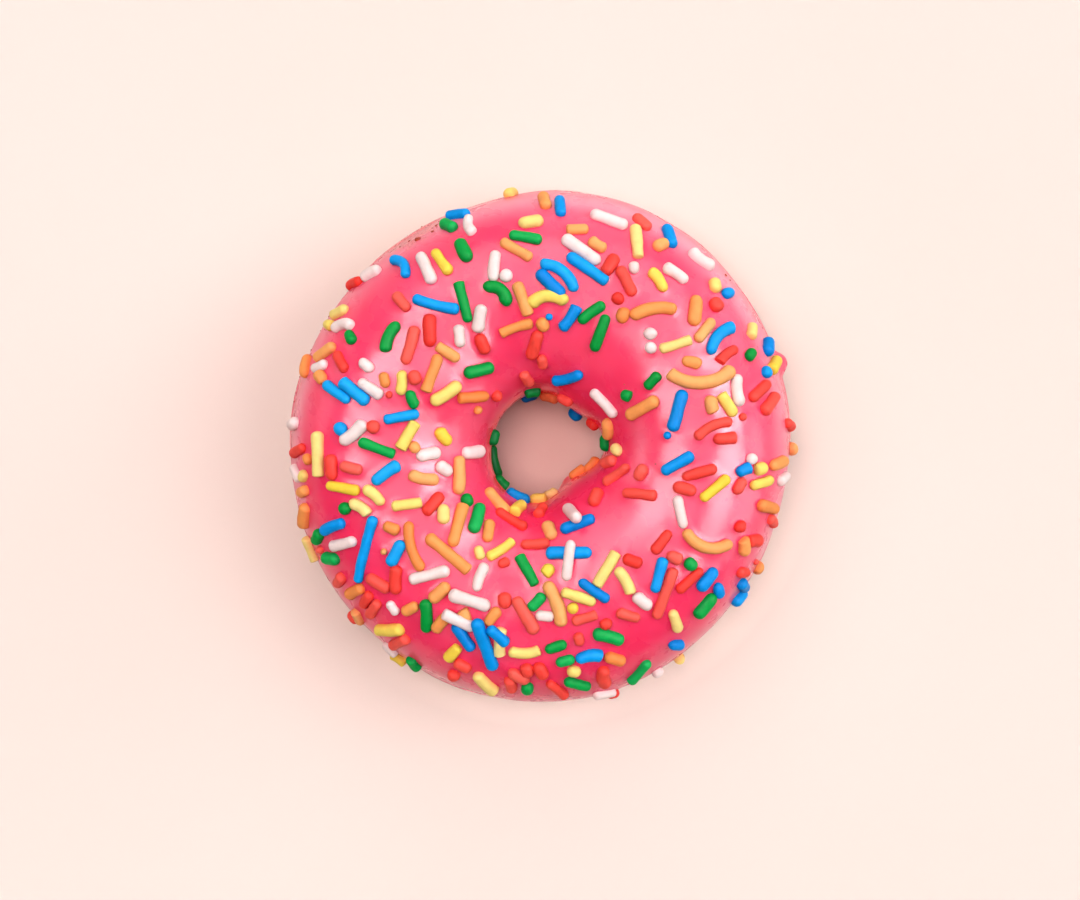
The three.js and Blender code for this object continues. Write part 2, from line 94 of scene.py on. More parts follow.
# Colours of the strewn sprinkles, by their share. These alone may differ from the shares in the
# solids' source, because the solids carry no colours.
COLOUR_SHARES = [
    ("red", 0.27), ("orange", 0.17), ("green", 0.12),
    ("yellow", 0.16), ("white", 0.2), ("blue", 0.08),
]

# The most striking sprinkles, where they lie in plan: (x, y, heading, length, bend, height of the
# middle where it lies across another). The bend is the change of heading from end to end.
STRIKING_SPRINKLES = {
    "blue": [
        (-28.5, -17, 75, 12, 0), (-9, -32, 105, 10.5, 0, 0.4), (-12.5, -31, 125, 5.5, 0),
        (-33, 8.5, 145, 6, 0), (-30, 8.5, 140, 6, 0), (7.5, 28.5, 145, 8, 0),
        (-17, 22.5, 165, 8, -15), (3.5, 28, -40, 8, -85), (1.5, 26, -45, 6, 0), (22, 5.5, 75, 7, 0),
        (28.5, 17.5, 50, 7, -70), (19, -21, 75, 6, 0), (8.5, -23.5, 145, 6, 0), (22, -3, 30, 6, 0),
        (4.5, 11, 15, 6, 30), (-22.5, 4.5, 10, 6, 0), (-22.3, 29.3, 130, 6.5, 95),
        (6, -13, 20, 6, 0), (4.5, -17.5, 0, 7.5, 0), (33, -23, 130, 4.5, 0),
        (-13.5, 37.5, 0, 4.5, 0), (37, 16, 80, 4, 0),
    ],
    "green": [
        (-12.5, 23, 105, 7, 0), (9.5, 18, 70, 6.5, 0), (16, -37, 50, 6, 0),
        (-26.5, -0.5, 160, 6.5, 0), (-2.5, 33.5, 170, 5.5, 0), (-10.5, -12, 75, 5.5, 0),
        (26.5, -26, 50, 5, 0), (-15, 35.5, 150, 4, 0), (-6.5, 25, 140, 6, 150),
        (-24.5, 17.5, 65, 5.5, -60),
    ],
    "yellow": [
        (-36, -1.5, 90, 7.5, 0), (10.5, -20, 60, 6.5, 0), (6, -24.5, 160, 6, 0, 0.5),
        (-24.5, -30, 5, 6, 0), (1, 24, 5, 7, -110), (28, -7, 40, 6, 0), (15.5, 33, 95, 6.5, 0),
        (-32, -7, 170, 6, 0), (38, 13, 55, 4.5, 0), (-5, 41.5, 30, 3.5, 0),
        (-16, 29.5, 125, 5.5, 0),
    ],
    "orange": [
        (26, 10, 5, 12, 85), (26.5, -16.5, -15, 9.5, 100), (-15, -17.5, 140, 9, 0),
        (-21, -16.5, 105, 8.5, -50), (18, 22, 10, 8, -55), (2.5, -25.5, 110, 8, 35),
        (-13.5, -13, 75, 7.5, 0), (16.5, 6, 30, 6.5, 0), (-17.5, 11.5, 70, 6.5, 0),
        (-13.5, -5, 90, 6.5, 15), (-7.5, -9.5, 135, 5.5, 0), (-35, 15, 35, 5, 0),
        (38.5, -3, 20, 5, 0), (-3, 23.5, 110, 6, 0), (-4, 31.5, 150, 6, 0),
    ],
    "red": [
        (20, -24, 70, 9, 0), (27.5, 3, 25, 7, -55), (-21, 16, 75, 6.5, 15), (-5, -12.5, 150, 6, 0),
        (16, -8, 175, 6, 0), (25.5, -4.5, 15, 6, 0), (-2.5, -27.5, 120, 7, 0),
    ],
    "white": [
        (6.5, 31.5, 145, 7.5, 0), (11, 36.5, 160, 6.5, 0), (-18, -21, 15, 7, 0),
        (-11.5, -25, 160, 7, 0, 0.6), (-18.5, 28.5, 115, 6.5, 0), (4.5, -19, 80, 6, 0, 1),
        (10.5, 7, -50, 6, 0), (5.5, -12, -55, 6, 0, 1.1), (26, 30, 145, 5, -60),
        (39.5, -5.5, 35, 4, 0), (-32, 19.5, 10, 5, -80), (-32, -16, 15, 5.5, 0),
    ],
}

# Sprinkles on the hole's wall: (colour, turn, lean, heading, length, bend). Heading 0 runs along
# the ring, 90 up the wall.
WALL_SPRINKLES = [
    ("green", 171, 168, 0, 2.8, 0), ("green", 199, 190, 8, 6, 50), ("green", 223, 172, 20, 2.8, 0),
    ("blue", 246, 170, 0, 4.4, 0), ("yellow", 267, 174, -10, 3.2, 0),
    ("yellow", 281, 182, 15, 2.8, 0), ("orange", -38, 182, 0, 3, 0),
    ("orange", -22, 180, 5, 3.2, 0), ("green", 2, 163, -5, 3, 0), ("red", 22, 172, 60, 2.8, 0),
    ("blue", 42, 186, 50, 2.8, 0), ("red", 62, 160, 20, 3, 0), ("orange", 80, 176, 25, 3.6, 0),
    ("blue", 103, 184, -40, 3.4, 0), ("green", 99, 164, -10, 2.8, 0),
]

# Patches of the top that hardly any sprinkle fell on: (x, y, radius).
BARE_PATCHES = [
    (11, 12, 4), (12, -13.5, 4), (18, 0, 4), (-27.5, 21.5, 4), (36.5, 1.5, 3.8), (-36, 5.5, 3.8),
    (5, 15, 3.6), (14, 16, 3.4), (-8, 35.5, 3.4), (-6, 15, 3), (-20.5, 33.5, 3.8),
]

# The rest, the longest first: strewn from above between two radii, a share of them onto one
# crowded stretch, and stuck to the outer side between two turns and two leans over the edge. The
# lower the inwards share, the more of them fall near the outer side.
STREWN = {
    "count": 185, "longest": 5.8, "shortest": 1.9,
    "nearest": 11, "farthest": 40.5, "inwards": 0.75,
}
CROWDED = {"share": 0.22, "turn": 235, "spread": 55}
OUTER_SIDE = {
    "count": 14, "longest": 4.6, "shortest": 2,
    "from": 195, "to": 375, "nearest": 9, "farthest": 34,
}
TRIES = 80                    # random places for each strewn sprinkle
AIMS = 4                      # rounds in which a point in plan finds its lean
SEED = 129

# ---- Sizes of what only shows close up ----

# Sugar balls among the sprinkles: (colour, x, y, diameter).
SUGAR_BALLS = [
    ("red", -24.5, 8.1, 1.2), ("yellow", 5.1, -26.3, 1.9), ("orange", -25.4, -17.3, 1.1),
    ("red", -36, -17.2, 1.5), ("blue", 20.4, 1.5, 1.3), ("white", 33.9, -2.3, 1.9),
    ("blue", 1.3, 20.6, 1.2), ("orange", -10.5, 5.8, 1.5), ("red", 32.5, 4.5, 1.3),
    ("red", 35.2, -19.2, 1),
]

# Two more of the pile on the lower left, across the others: (colour, x, y, heading, length, height
# of the middle).
PILED = [("white", -13.1, -28.1, 147, 5.8, 0.9), ("blue", -6.9, -30.5, 130, 4.6, 0.9)]

# Crumbs of crust: the ones that show most, as (x, y, size), and the strewn ones of a stretch of
# the outer side: how many, between which turns and leans over the edge, and their sizes. The higher
# downwards and fineness are, the more of them lie low and are small.
CRUMBS = [
    (-20.3, 33.7, 1.1), (-17.8, 35, 0.6), (-17.3, 36.1, 0.5), (30.5, 28, 0.6), (31.2, 27.2, 0.4),
    (18.5, -3.1, 0.3), (33.1, 4.3, 0.35), (13.5, 9.8, 0.25),
]
CRUMB_STRETCH = {
    "count": 95, "from": 96, "to": 172, "lowest": -2, "highest": 26, "downwards": 1.5,
    "largest": 0.5, "smallest": 0.16, "fineness": 3,
}

# A crumb's form, in shares of its size: its width and height, its lumps and their size, and how
# high its middle lies over the icing.
CRUMB = {"width": (0.5, 0.9), "height": (0.4, 0.7), "lumps": 0.5, "lump_size": 0.4, "middle": 0.12}

# Painted sheen: places where the icing's colour is paled to stand in for reflected light: (turn,
# spread in turn, lean, spread in lean, how pale).
PAINTED_SHEEN_PLACES = [
    (60, 75, 31, 13, 1), (175, 22, 26, 9, 0.6), (335, 28, 14, 12, 0.5), (165, 50, 140, 14, 0.25),
    (30, 14, 80, 9, 0.3), (0, 22, 125, 8, 0.35),
]

# The shade in the hole: the leans at which it sets in and is full, the turn at which it is deepest,
# and how much weaker it is elsewhere.
HOLE_SHADE = {"from": 160, "to": 180, "deepest": 120, "swing": 0.33}
SPRINKLES_DEEPER = 8          # degrees of lean by which the sprinkles lie deeper in it

# The stretch of the outer side where the crust stains the icing, with its reach either way.
THIN_STRETCH = {"turn": 120, "spread": 11, "lean_spread": 30}

# Fine relief, as (swing, size of its features).
ICING_RELIEF = [(0.08, 8), (0.006, 2.6)]
CRUST_WRINKLES, CRUST_FURROWS = (0.14, 3.2), (0.1, 1.3)
CRUST_BARE = (1, 4)           # degrees below the icing's edge between which they set in
CRUST_OFF_FLOOR = 0.8         # height over the floor up to which they set in
COLLAR = {"rise": 0.07, "reach": 0.42}    # icing drawn up around each sprinkle
DAB_STEEPNESS = 1.3           # of the stray dab's sides

# The forms of the sprinkles, with the lengths of their tips and their girths in radii.
CUT_SHARES = {"yellow": 0.35, "orange": 0.15}      # of the tips, those that are cut off
OTHER_CUT_SHARE = 0.05
CUT_TIP, ROUND_TIP = (0.3, 0.45), (0.75, 1.1)
LONGEST_TIPS = 0.94           # share of a sprinkle's length that both tips may take up
ROUND_UNDER = 0.01            # longer than thick by less than this, and both tips are round
TIP_POINT = 0.001             # girth at the very end of a tip
TAPER = (-0.16, 0.16)         # how the girth changes from tip to tip
BELLY = (-0.09, 0.06)         # and towards the middle
LUMPS, GRAIN, RED_GRAIN = (0.1, 1.8), (0.025, 0.7), (0.05, 0.7)     # (swing, size)
BOUNCE_SHADE_UNDER = 0.75              # height over the middle under which painted shade and pink bounce light redden it
SEEDS_PER_COLOUR = 100

# How finely the meshes are made.
ICING_TURNS = 520             # steps around the ring
ICING_LEANS = 146             # rows of the outside between its rims
RIM_ROWS = 6
INSIDE_ROWS = 32
DOUGH_TURNS = 360
DOUGH_LEANS = 130
SPRINKLE_SIDES = 16
SPRINKLE_RUN = 0.45           # length between two rings of a sprinkle
TIP_RINGS = 6
CRUMB_SPLITS = 2
PROBE_RUN = 0.3               # length between two places where nearness to a sprinkle is tested
NEARBY = 0.05                 # length ahead and back that gives a sprinkle's direction

# ---- Small helpers ----


def signed_power(value, exponent):
    """A power that keeps the sign, for the superellipse."""
    return np.sign(value) * np.abs(value) ** exponent


def waves(table, turn):
    """The sum of a table's waves at a turn."""
    return sum(swing * np.cos(count * np.radians(turn - peak)) for count, swing, peak in table)


def bell(angle, middle, spread):
    """1 at the middle, falling smoothly to nothing some spreads away, around the circle."""
    away = np.mod(angle - middle + 180, 360) - 180
    return np.exp(-((away / spread) ** 2))


def lerp(start, end, share):
    return start + (end - start) * share


def passed(value, start, end):
    """How much of the way from start to end a value has passed, from 0 to 1."""
    return np.clip((value - start) / (end - start), 0, 1)


def unit(vectors):
    return vectors / np.linalg.norm(vectors, axis=-1, keepdims=True)


def seeded_draw(seed):
    """A seeded source of numbers from 0 to 1: the Park-Miller generator."""
    multiplier, modulus = 48271, 2147483647
    state = seed
    while True:
        state = (state * multiplier) % modulus
        yield state / modulus


SEED_SHIFT = (17.3, 5.1, 9.7)      # by which each seed moves the noise


def grain(points, size, seed):
    """Smooth noise from -1 to 1 with features of the given size, at each point."""
    shift = Vector([seed * step for step in SEED_SHIFT])
    return np.array([noise.noise(Vector(point) / size + shift) for point in points.tolist()])


def layered(points, layers, seed):
    """The sum of noises, each given as (swing, size of its features), at each point."""
    return sum(swing * grain(points, size, seed + i) for i, (swing, size) in enumerate(layers))


# ---- The dough's section ----

SIDE = GAP + ICING_SIDE


def tube(turn):
    """Middle radius and half-width of the dough's section at a turn."""
    outer = OUTER_RADIUS - SIDE + waves(OUTER_WAVES, turn)
    inner = HOLE_RADIUS + SIDE + waves(HOLE_WAVES, turn)
    return (outer + inner) / 2, (outer - inner) / 2


def crown_rise(turn):
    """Height of the dough's crown over the waist."""
    return CROWN_HEIGHT - GAP - ICING_CROWN - WAIST_HEIGHT + waves(CROWN_WAVES, turn)


def dough_section(turn, lean):
    """Distance from the axis and height of the dough's surface."""
    middle, half = tube(turn)
    across, up = np.cos(np.radians(lean)), np.sin(np.radians(lean))
    power = np.where(up >= 0, 2 / CROWN_EXPONENT, 2 / BASE_EXPONENT)
    rise = np.where(up >= 0, crown_rise(turn), WAIST_HEIGHT + FOOT_DEPTH)
    lump = LUMP["rise"] * bell(turn, LUMP["turn"], LUMP["turn_spread"]) * bell(
        lean, LUMP["lean"], LUMP["lean_spread"])
    radius = middle + half * signed_power(across, power) - lump
    height = WAIST_HEIGHT + rise * signed_power(up, power)
    return radius, np.maximum(0, height)


def section_normal(turn, lean):
    """The direction straight out of the section, outwards and up."""
    step = 0.5
    radius_after, height_after = dough_section(turn, lean + step)
    radius_before, height_before = dough_section(turn, lean - step)
    outward, up = height_after - height_before, radius_before - radius_after
    length = np.hypot(outward, up)
    return outward / length, up / length


def in_space(turn, outward, up):
    """What lies outwards and up in the section at a turn, as x, y and z."""
    angle = np.radians(turn)
    return np.stack([outward * np.cos(angle), outward * np.sin(angle), up], axis=-1)


def over_dough(turn, lean, height):
    """Points at a height over the dough's surface."""
    radius, z = dough_section(turn, lean)
    outward, up = section_normal(turn, lean)
    return in_space(turn, radius + outward * height, z + up * height)


# ---- The icing ----


def outer_edge(turn):
    """The lean down to which the icing reaches on the outer side."""
    return OUTER_EDGE + waves(OUTER_EDGE_WAVES, turn) + BARE_STRETCH["rise"] * bell(
        turn, BARE_STRETCH["turn"], BARE_STRETCH["spread"])


def inner_edge(turn):
    """The lean down to which the icing reaches in the hole."""
    return INNER_EDGE + waves(INNER_EDGE_WAVES, turn)


def icing_top(turn, lean):
    """Height of the icing's outside over the dough, from its rounded rim to the crown."""
    from_edge = np.minimum(lean - outer_edge(turn), inner_edge(turn) - lean)
    body = lerp(ICING_SIDE, ICING_CROWN, np.maximum(0, np.sin(np.radians(lean))))
    bead = RIM_BEAD["rise"] * bell(from_edge, RIM_BEAD["back"], RIM_BEAD["spread"])
    swell = SWELL["rise"] * np.cos(SWELL["turns"] * np.radians(turn)) * np.cos(
        SWELL["leans"] * np.radians(lean))
    rounding = 1 - np.clip(from_edge / RIM_ROUND, 0, 1)
    return GAP + (body + bead + swell) * np.sqrt(1 - rounding ** 2)


def over_icing(turn, lean, height):
    """Points at a height over the icing's surface."""
    return over_dough(turn, lean, icing_top(turn, lean) + height)


# ---- Places of the sprinkles ----


def lean_in_plan(turn, radius):
    """The lean on the upper half whose icing lies under a point in plan.

    The lean that a superellipse around the icing gives misses the point a little, so the aim is
    put right a few times.
    """
    middle, half = tube(turn)
    aim, lean = radius, 90
    for _ in range(AIMS):
        across = np.clip((aim - middle) / (half + SIDE), -1, 1)
        lean = np.degrees(np.arccos(signed_power(across, CROWN_EXPONENT / 2)))
        aim = aim + radius - np.hypot(*over_icing(turn, lean, 0)[:2])
    return float(lean)


def place_in_plan(x, y):
    """The turn and lean of the icing's upper half at a point in plan."""
    turn = math.degrees(math.atan2(y, x))
    return turn, lean_in_plan(turn, math.hypot(x, y))


def place_under(points):
    """The turn and lean of the icing right under points in space."""
    turn = np.degrees(np.arctan2(points[..., 1], points[..., 0]))
    middle, half = tube(turn)
    across = (np.hypot(points[..., 0], points[..., 1]) - middle) / (half + SIDE)
    up = points[..., 2] - WAIST_HEIGHT
    rise = np.where(up > 0, crown_rise(turn) + SIDE, WAIST_HEIGHT + FOOT_DEPTH)
    exponent = np.where(up > 0, CROWN_EXPONENT, BASE_EXPONENT)
    lean = np.degrees(np.arctan2(
        signed_power(up / rise, exponent / 2), signed_power(across, exponent / 2)))
    return turn, np.where(lean < -90, lean + 360, lean)


def icing_normal(turn, lean):
    """The direction straight out of the icing."""
    return in_space(turn, *section_normal(turn, lean))


def plan_direction(normal, heading):
    """The direction on the surface whose plan has the given heading."""
    x, y = math.cos(math.radians(heading)), math.sin(math.radians(heading))
    return unit(np.array([x, y, -(x * normal[0] + y * normal[1]) / normal[2]]))


def wall_direction(normal, turn, heading):
    """The direction on the surface that leaves the line of the ring by the given heading."""
    turn, heading = math.radians(turn), math.radians(heading)
    along_ring = np.array([-math.sin(turn), math.cos(turn), 0])
    up_the_wall = unit(np.cross(normal, along_ring))
    return along_ring * math.cos(heading) + up_the_wall * math.sin(heading)


def sprinkle_line(turn, lean, direction, length, bend, lift, radius):
    """The middle line: an arc over the icing at its place, drawn down towards the icing.

    A sprinkle that lies across another is straight, from its foot in the icing over its lifted
    middle.
    """
    normal = icing_normal(turn, lean)
    sideways = np.cross(normal, direction)
    rest = radius * (1 - SINK)
    middle = over_icing(turn, lean, rest)
    curve = math.radians(bend) / length

    def level(along):
        ahead = along if curve == 0 else np.sin(curve * along) / curve
        aside = 0 * along if curve == 0 else (1 - np.cos(curve * along)) / curve
        return middle + direction * ahead[..., None] + sideways * aside[..., None]

    def hugging(along):
        return over_icing(*place_under(level(along)), rest)

    if lift > 0:
        foot = hugging(np.array(-length / 2))
        crossing = middle + normal * lift
        return lambda along: lerp(crossing, foot, (-2 * along / length)[..., None])
    return lambda along: lerp(level(along), hugging(along), HUG)


def make_sprinkle(colour, **place):
    """A sprinkle: its colour, its place, its middle line and five samples of it."""
    line = sprinkle_line(**place)
    reach = place["length"] / 2 - place["radius"]
    samples = line(np.array([-1, -0.5, 0, 0.5, 1]) * reach)
    return {"colour": colour, "line": line, "samples": samples, **place}


def sprinkle_in_plan(colour, x, y, heading, length, bend, lift, radius):
    turn, lean = place_in_plan(x, y)
    direction = plan_direction(icing_normal(turn, lean), heading)
    return make_sprinkle(
        colour, turn=turn, lean=lean, direction=direction, length=length, bend=bend, lift=lift,
        radius=radius)


def sprinkle_on_wall(colour, turn, lean, heading, length, bend, radius):
    direction = wall_direction(icing_normal(turn, lean), turn, heading)
    return make_sprinkle(
        colour, turn=turn, lean=lean, direction=direction, length=length, bend=bend, lift=0,
        radius=radius)


def is_clear(sprinkle, others):
    """Whether a sprinkle keeps its distance from all others."""
    taken = np.concatenate([other["samples"] for other in others])
    apart = np.linalg.norm(taken[:, None, :] - sprinkle["samples"][None, :, :], axis=-1)
    return apart.min() > TOUCHING


def is_over_bare_patch(sprinkle):
    samples = sprinkle["samples"]
    return any(
        (np.hypot(samples[:, 0] - x, samples[:, 1] - y) < radius).any()
        for x, y, radius in BARE_PATCHES)


def drawn_colour(number):
    total = 0
    for colour, share in COLOUR_SHARES:
        total += share
        if number < total:
            return colour
    return COLOUR_SHARES[0][0]


def drawn_bend(number):
    """Most sprinkles are nearly straight; a few are bent, up to MOST_BENT either way."""
    return float(MOST_BENT * signed_power(2 * number - 1, STIFFNESS))


def add_clear(sprinkles, strewing, propose):
    """Tries random places until one is clear of the sprinkles that already lie there."""
    for i in range(strewing["count"]):
        length = lerp(strewing["longest"], strewing["shortest"], i / (strewing["count"] - 1))
        for _ in range(TRIES):
            sprinkle = propose(length)
            if is_clear(sprinkle, sprinkles) and not is_over_bare_patch(sprinkle):
                sprinkles.append(sprinkle)
                break


def all_sprinkles():
    """Every sprinkle of the rule, from the same draws and in the same order as in the solids."""
    numbers = seeded_draw(SEED)
    sprinkles = []

    def draw():
        return next(numbers)

    def drawn_radius():
        return SPRINKLE_RADIUS * lerp(1 - UNEVEN, 1 + UNEVEN, draw())

    def on_outer_side(length):
        colour = drawn_colour(draw())
        turn = lerp(OUTER_SIDE["from"], OUTER_SIDE["to"], draw())
        lean = float(outer_edge(turn)) + lerp(OUTER_SIDE["nearest"], OUTER_SIDE["farthest"], draw())
        return sprinkle_on_wall(
            colour, turn, lean, 180 * draw(), length, drawn_bend(draw()), drawn_radius())

    def strewn(length):
        colour = drawn_colour(draw())
        radius = lerp(STREWN["nearest"], STREWN["farthest"], draw() ** STREWN["inwards"])
        crowded = draw() < CROWDED["share"]
        turn = math.radians(
            CROWDED["turn"] + CROWDED["spread"] * (2 * draw() - 1) if crowded else 360 * draw())
        x, y = radius * math.cos(turn), radius * math.sin(turn)
        return sprinkle_in_plan(
            colour, x, y, 180 * draw(), length, drawn_bend(draw()), 0, drawn_radius())

    for colour, rows in STRIKING_SPRINKLES.items():
        for x, y, heading, length, bend, *lift in rows:
            sprinkles.append(sprinkle_in_plan(
                colour, x, y, heading, length, bend, lift[0] if lift else 0, drawn_radius()))
    for row in WALL_SPRINKLES:
        sprinkles.append(sprinkle_on_wall(*row, drawn_radius()))
    add_clear(sprinkles, OUTER_SIDE, on_outer_side)
    add_clear(sprinkles, STREWN, strewn)
    return sprinkles


# ---- Meshes ----


def ring_faces(turns, rows):
    """Quads of a closed ring with the given steps around it and points in each section."""
    i, j = np.meshgrid(np.arange(turns), np.arange(rows), indexing="ij")
    ahead, above = (i + 1) % turns, (j + 1) % rows
    quads = [i * rows + j, ahead * rows + j, ahead * rows + above, i * rows + above]
    return np.stack(quads, axis=-1).reshape(-1, 4).tolist()


def add_piece(name, points, faces, material, slot, attributes):
    """A smooth mesh piece, from points in millimetres, that rides on the one body."""
    mesh = bpy.data.meshes.new(name)
    mesh.from_pydata((points * MM).tolist(), [], faces)
    mesh.polygons.foreach_set("use_smooth", [True] * len(mesh.polygons))
    for key, values in attributes.items():
        layer = mesh.attributes.new(key, "FLOAT", "POINT")
        layer.data.foreach_set("value", np.asarray(values, dtype=np.float32))
    mesh.materials.append(material)
    piece = bpy.data.objects.new(name, mesh)
    bpy.context.scene.collection.objects.link(piece)
    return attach(piece, "root")


def beyond_sprinkles(points, sprinkles):
    """How far each point lies outside the skin of the nearest sprinkle."""
    middles, radii = [], []
    for sprinkle in sprinkles:
        reach = sprinkle["length"] / 2 - sprinkle["radius"]
        steps = 2 + math.ceil(2 * reach / PROBE_RUN)
        middles.extend(sprinkle["line"](np.linspace(-reach, reach, steps)).tolist())
        radii.extend([sprinkle["radius"]] * steps)
    tree = kdtree.KDTree(len(middles))
    for i, middle in enumerate(middles):
        tree.insert(middle, i)
    tree.balance()
    found = [tree.find(point) for point in points.tolist()]
    return np.array([distance - radii[i] for _, i, distance in found])


def dab_relief(turn, lean):
    """How far the stray dab stands out over the icing around it."""
    around = np.radians(turn - DAB["turn"]) * OUTER_RADIUS / DAB["along"]
    upwards = np.radians(lean - DAB["lean"]) * (CROWN_HEIGHT - WAIST_HEIGHT) / DAB["up"]
    return DAB["out"] * np.exp(-(around ** 2 + upwards ** 2) ** DAB_STEEPNESS)


def hole_shade(turn, lean):
    """How much a place on the hole's wall lies in its shade, from 0 to 1."""
    depth = passed(lean, HOLE_SHADE["from"], HOLE_SHADE["to"])
    around = 1 - np.cos(np.radians(turn - HOLE_SHADE["deepest"]))
    return depth * (1 - HOLE_SHADE["swing"] * around)


def make_icing(sprinkles, material):
    """The skin of icing with its rims, its inside, its relief and where its colour changes, with
    painted sheen and painted shade in the hole.
    """
    turn = np.linspace(0, 360, ICING_TURNS, endpoint=False)[:, None]
    outer, inner = outer_edge(turn), inner_edge(turn)
    rim = RIM_ROUND * (1 - np.cos(np.radians(np.linspace(0, 90, RIM_ROWS + 1)[1:-1])))
    between = np.linspace(0, 1, ICING_LEANS)
    lean = np.concatenate([
        outer + rim, lerp(outer + RIM_ROUND, inner - RIM_ROUND, between), (inner - rim)[:, ::-1],
    ], axis=1)
    turn_of = turn + 0 * lean
    body = icing_top(turn_of, lean)
    base = over_dough(turn_of, lean, body).reshape(-1, 3)
    away = np.maximum(0, beyond_sprinkles(base, sprinkles)) / COLLAR["reach"]
    relief = layered(base, ICING_RELIEF, 1) + COLLAR["rise"] * np.exp(-away ** 2)
    strength = np.clip((body - GAP) / ICING_SIDE, 0, 1)
    outside = over_dough(
        turn_of, lean, body + strength * (relief.reshape(body.shape) + dab_relief(turn_of, lean)))
    under = lerp(inner, outer, np.linspace(0, 1, INSIDE_ROWS + 1))
    inside = over_dough(turn + 0 * under, under, GAP)
    thin = bell(turn_of, THIN_STRETCH["turn"], THIN_STRETCH["spread"]) * np.exp(
        -((lean - outer) / THIN_STRETCH["lean_spread"]) ** 2)
    # Painted sheen: how much the icing's colour is paled to stand in for reflected light.
    pale = sum(
        amount * bell(turn_of, middle, spread) * bell(lean, middle_lean, lean_spread)
        for middle, spread, middle_lean, lean_spread, amount in PAINTED_SHEEN_PLACES)
    attributes = {
        key: np.concatenate([values, fill * np.ones(inside.shape[:2])], axis=1).ravel()
        for key, values, fill in [
            ("thin", thin, 1), ("pale", np.minimum(1, pale), 0),
            ("shade", hole_shade(turn_of, lean), 1),
        ]}
    points = np.concatenate([outside, inside], axis=1)
    piece = add_piece(
        "icing_glaze", points.reshape(-1, 3), ring_faces(*points.shape[:2]), material, "icing",
        attributes)
    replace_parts(piece, "icing")


def make_dough(material):
    """The ring of dough, wrinkled where it is bare and doesn't rest on the floor."""
    turn = np.linspace(0, 360, DOUGH_TURNS, endpoint=False)[:, None]
    lean = np.linspace(0, 360, DOUGH_LEANS, endpoint=False)[None, :] + 0 * turn
    turn = turn + 0 * lean
    points = over_dough(turn, lean, 0).reshape(-1, 3)
    below = np.where(lean > 270, 360 + outer_edge(turn) - lean, lean - inner_edge(turn))
    bare = passed(below, *CRUST_BARE)
    off_floor = passed(points[:, 2].reshape(lean.shape), 0, CRUST_OFF_FLOOR)
    wrinkles = layered(points, [CRUST_WRINKLES], 3) - np.abs(layered(points, [CRUST_FURROWS], 4))
    height = wrinkles.reshape(lean.shape) * bare * off_floor
    points = over_dough(turn, lean, height)
    points[..., 2] = np.maximum(0, points[..., 2])
    piece = add_piece(
        "dough_crust", points.reshape(-1, 3), ring_faces(*lean.shape), material, "dough", {})
    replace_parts(piece, "dough")


def joined(parts):
    """Points and faces of one mesh, from those of several."""
    points, faces, offset = [], [], 0
    for own_points, own_faces in parts:
        points.append(own_points)
        faces.extend([[offset + corner for corner in face] for face in own_faces])
        offset += len(own_points)
    return np.concatenate(points), faces


def drawn_tips(sprinkle, draw):
    """The lengths of a sprinkle's tips, each either rounded or cut off."""
    length, radius = sprinkle["length"], sprinkle["radius"]
    cut_share = CUT_SHARES.get(sprinkle["colour"], OTHER_CUT_SHARE)
    tips = [
        radius * draw.uniform(*(CUT_TIP if draw.random() < cut_share else ROUND_TIP))
        for _ in range(2)]
    if length <= 2 * radius + ROUND_UNDER:
        tips = [radius, radius]
    return [min(1, LONGEST_TIPS * length / sum(tips)) * tip for tip in tips]


def sprinkle_profile(sprinkle, draw):
    """Places along a sprinkle's middle line and its girth there, in radii."""
    length = sprinkle["length"]
    first_tip, last_tip = drawn_tips(sprinkle, draw)
    swing = np.radians(np.linspace(90, 0, TIP_RINGS + 1))
    start = -length / 2 + first_tip * (1 - np.sin(swing))
    end = length / 2 - last_tip * (1 - np.sin(swing[::-1]))
    steps = max(2, math.ceil((end[0] - start[-1]) / SPRINKLE_RUN) + 1)
    along = np.concatenate([start, np.linspace(start[-1], end[0], steps)[1:-1], end])
    girth = np.concatenate([np.cos(swing), np.ones(steps - 2), np.cos(swing[::-1])])
    taper, belly = draw.uniform(*TAPER), draw.uniform(*BELLY)
    return along, np.maximum(girth, TIP_POINT) * (
        1 + taper * along / length + belly * np.cos(math.pi * along / length) ** 2)


def rod_faces(rings):
    """Quads between the rings of a sprinkle, and a cap at either end."""
    i, j = np.meshgrid(np.arange(rings - 1), np.arange(SPRINKLE_SIDES), indexing="ij")
    beside = (j + 1) % SPRINKLE_SIDES
    quads = np.stack([
        i * SPRINKLE_SIDES + j, (i + 1) * SPRINKLE_SIDES + j,
        (i + 1) * SPRINKLE_SIDES + beside, i * SPRINKLE_SIDES + beside,
    ], axis=-1).reshape(-1, 4)
    corners = list(range(rings * SPRINKLE_SIDES))
    return quads.tolist() + [corners[:SPRINKLE_SIDES], corners[:-SPRINKLE_SIDES - 1:-1]]


